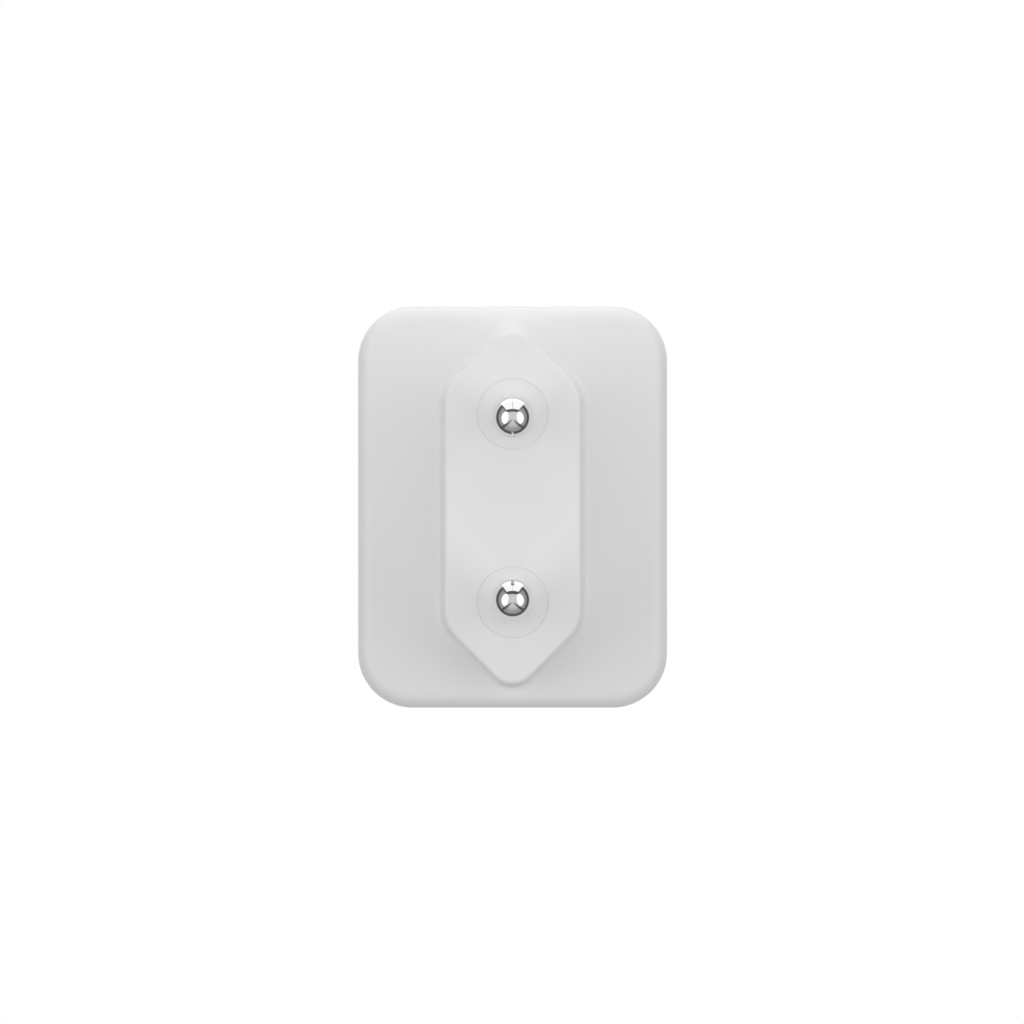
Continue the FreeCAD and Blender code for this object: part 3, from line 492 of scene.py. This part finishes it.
def silicone_pad():
    """Soft filled silicone: dull grey with darker flecks."""
    shader = moulded("pad_silicone", (0.42, 0.47, 0.53), 0.80, 0.25 * MM, 0.02 * MM)
    shader.patch(shader.calc("LESS_THAN", shader.cells(0.35 * MM), 0.16), (0.25, 0.28, 0.32), 0.85)
    return shader


dress(silicone_pad(), "thermal_pad")

# ---- Stage ----
white = 1.0                  # what the camera sees of the floor and the backdrop
floor_reach = 12.0
floor_drop = 0.1 * MM        # keeps the floor clear of the adapter's flat underside


def make_floor():
    """A plain white floor, seen by the camera only, so that it neither lights nor shades the adapter."""
    mesh = bpy.data.meshes.new("floor")
    height = underside_z - floor_drop
    signs = ((-1, -1), (1, -1), (1, 1), (-1, 1))
    corners = [(x * floor_reach, y * floor_reach, height) for x, y in signs]
    mesh.from_pydata(corners, [], [(0, 1, 2, 3)])
    floor = bpy.data.objects.new("floor", mesh)
    scene.collection.objects.link(floor)
    material = bpy.data.materials.new("floor_white")
    material.use_nodes = True
    tree = material.node_tree
    tree.nodes.clear()
    output = tree.nodes.new("ShaderNodeOutputMaterial")
    glow = tree.nodes.new("ShaderNodeEmission")
    glow.inputs["Strength"].default_value = white
    tree.links.new(glow.outputs["Emission"], output.inputs["Surface"])
    mesh.materials.append(material)
    for way in ("visible_diffuse", "visible_glossy", "visible_transmission", "visible_shadow"):
        setattr(floor, way, False)


make_floor()

# ---- Studio: radiances, 1 being a pure white ----
world_back = 0.74            # the white backdrop, behind the adapter
world_down = 0.72            # the same, from below
world_front = 0.72           # the front of the tent, round the camera
world_wall = 0.35            # its grey sides and top
world_floor = 0.35           # its floor
world_gap = 0.10             # dark edges between the tent's panels
side_box = 0.95              # the softbox at each side
top_box = 1.07               # the two overhead

# Where one part of the tent gives way to the next: start and end of each change.
# "Sideways" and "forward" are slopes, for each unit up or down; the others are parts of a unit direction.
overhead_sideways = (0.92, 1.08)    # out of the dark frame round the overhead softboxes
overhead_forward = (1.40, 1.65)
overhead_up = (0.0, 0.05)
floor_line_sideways = 1.08          # the floor's dark side lines, straight below
floor_line_closing = 0.19           # and how they close in, for each unit forward
floor_line_off = (0.14, 0.30)       # from a line's middle to its outside
floor_line_up = (-0.22, -0.38)      # into the lines, going down
wall_up = (-0.35, 0.15)             # from the floor to the walls
front_y = (-1.0, -0.25)             # from straight ahead to the walls
rim_y = (-0.12, -0.03)              # from the walls to the dark rim in front of the backdrop
backdrop_y = (0.24, 0.33)           # from the rim to the backdrop
backdrop_up = (-0.5, 0.5)           # from its lower level to its upper one


def make_world():
    """White to the camera; to the adapter, a white backdrop and grey tent walls with dark edges."""
    world = bpy.data.worlds.new("studio")
    scene.world = world
    world.use_nodes = True
    tree = world.node_tree
    tree.nodes.clear()
    new = tree.nodes.new
    link = tree.links.new

    def feed(socket, value):
        if isinstance(value, bpy.types.NodeSocket):
            link(value, socket)
        else:
            socket.default_value = value

    def fade(value, span, first, last):
        """Ease from a first level to a last one while the value crosses a span."""
        node = new("ShaderNodeMapRange")
        node.interpolation_type = "SMOOTHSTEP"
        keys = ("Value", "From Min", "From Max", "To Min", "To Max")
        for key, part in zip(keys, (value, *span, first, last)):
            feed(node.inputs[key], part)
        return node.outputs["Result"]

    def calc(operation, *values):
        node = new("ShaderNodeMath")
        node.operation = operation
        for socket, value in zip(node.inputs, values):
            feed(socket, value)
        return node.outputs[0]

    def background(strength):
        node = new("ShaderNodeBackground")
        feed(node.inputs["Color"], (1, 1, 1, 1))
        feed(node.inputs["Strength"], strength)
        return node.outputs[0]

    coords = new("ShaderNodeTexCoord")
    split = new("ShaderNodeSeparateXYZ")
    link(coords.outputs["Generated"], split.inputs[0])
    x, y, z = split.outputs
    steep = calc("MAXIMUM", calc("ABSOLUTE", z), 0.001)
    sideways = calc("DIVIDE", calc("ABSOLUTE", x), steep)
    forward = calc("DIVIDE", calc("MULTIPLY", y, -1.0), steep)
    # a dark frame round the overhead softboxes
    over = fade(sideways, overhead_sideways, 1.0, 0.0)
    over = calc("MULTIPLY", over, fade(forward, overhead_forward, 1.0, 0.0))
    over = calc("MULTIPLY", over, fade(z, overhead_up, 0.0, 1.0))
    # a dark line along each side of the floor panel, closing in towards the front
    floor_edge = calc("SUBTRACT", floor_line_sideways, calc("MULTIPLY", forward, floor_line_closing))
    off_edge = calc("ABSOLUTE", calc("SUBTRACT", sideways, floor_edge))
    line = calc("MULTIPLY", fade(off_edge, floor_line_off, 1.0, 0.0), fade(z, floor_line_up, 0.0, 1.0))
    grey = fade(z, wall_up, world_floor, world_wall)
    grey = fade(y, front_y, world_front, grey)
    walls = fade(calc("MAXIMUM", over, line), (0.0, 1.0), grey, world_gap)
    rim = fade(y, rim_y, walls, world_gap)
    behind = fade(z, backdrop_up, world_down, world_back)
    level = fade(y, backdrop_y, rim, behind)
    mix = new("ShaderNodeMixShader")
    link(new("ShaderNodeLightPath").outputs["Is Camera Ray"], mix.inputs[0])
    link(background(level), mix.inputs[1])
    link(background(white), mix.inputs[2])
    link(mix.outputs[0], new("ShaderNodeOutputWorld").inputs["Surface"])


make_world()

# ---- Lights ----
middle = Vector((0, plug_face_y, centre_z))
side_azimuth = 44            # of the softbox at each side, in degrees from straight in front
side_distance = 0.6
side_width = 0.42
side_height = 0.72
side_roll = 14               # its top leans inwards by this, in degrees
top_height = 0.16            # of the two overhead softboxes, which the sizes below are shares of
top_gap = 0.01               # half the gap between them
top_reach = 0.78             # sideways
top_front = 0.92             # towards the camera
top_rear = 0.70


def softbox(name, place, aim, width, height, radiance, shape, roll=0):
    """A softbox at a place relative to the middle of the plug's face, aimed at another such place."""
    data = bpy.data.lights.new(name, "AREA")
    data.shape = shape
    data.size = width
    data.size_y = height
    area = width * height * (math.pi / 4 if shape == "ELLIPSE" else 1)
    data.energy = radiance * math.pi * area
    light = bpy.data.objects.new(name, data)
    light.location = middle + Vector(place)
    turn = (Vector(aim) - Vector(place)).to_track_quat("-Z", "Y").to_matrix()
    light.rotation_euler = (turn @ Matrix.Rotation(math.radians(roll), 3, "Z")).to_euler()
    light.visible_camera = False
    scene.collection.objects.link(light)


for side in (-1, 1):
    azimuth = math.radians(side * side_azimuth)
    place = (side_distance * math.sin(azimuth), -side_distance * math.cos(azimuth), 0)
    softbox("side_box", place, (0, 0, 0), side_width, side_height, side_box, "ELLIPSE", side * side_roll)
    x = side * (top_gap + top_reach) / 2 * top_height
    y = (top_rear - top_front) / 2 * top_height
    softbox("top_box", (x, y, top_height), (x, y, 0), (top_reach - top_gap) * top_height,
            (top_front + top_rear) * top_height, top_box, "RECTANGLE")

# ---- Camera, at the photograph's viewing angle: almost straight at the plug's face ----
camera_distance = 0.830      # from the plug's face
frame_width = 0.10107        # what the picture spans at the plug's face
sensor = 36.0
camera_rise = 0.0035         # the camera sits this much above the adapter's middle
camera_left = 0.00006        # and this much to the left of it
aim_drop = 0.00040           # it looks at a height this much under the middle of the plug's face

camera_data = bpy.data.cameras.new("camera")
camera_data.sensor_width = sensor
camera_data.lens = sensor * camera_distance / frame_width
camera_data.clip_start = 0.01
camera_data.clip_end = 50.0
camera = bpy.data.objects.new("camera", camera_data)
camera.location = middle + Vector((-camera_left, -camera_distance, camera_rise))
camera.rotation_euler = (math.pi / 2 - math.atan2(camera_rise + aim_drop, camera_distance), 0, 0)
scene.collection.objects.link(camera)
scene.camera = camera
scene.view_settings.view_transform = "Standard"

bpy.context.view_layer.update()
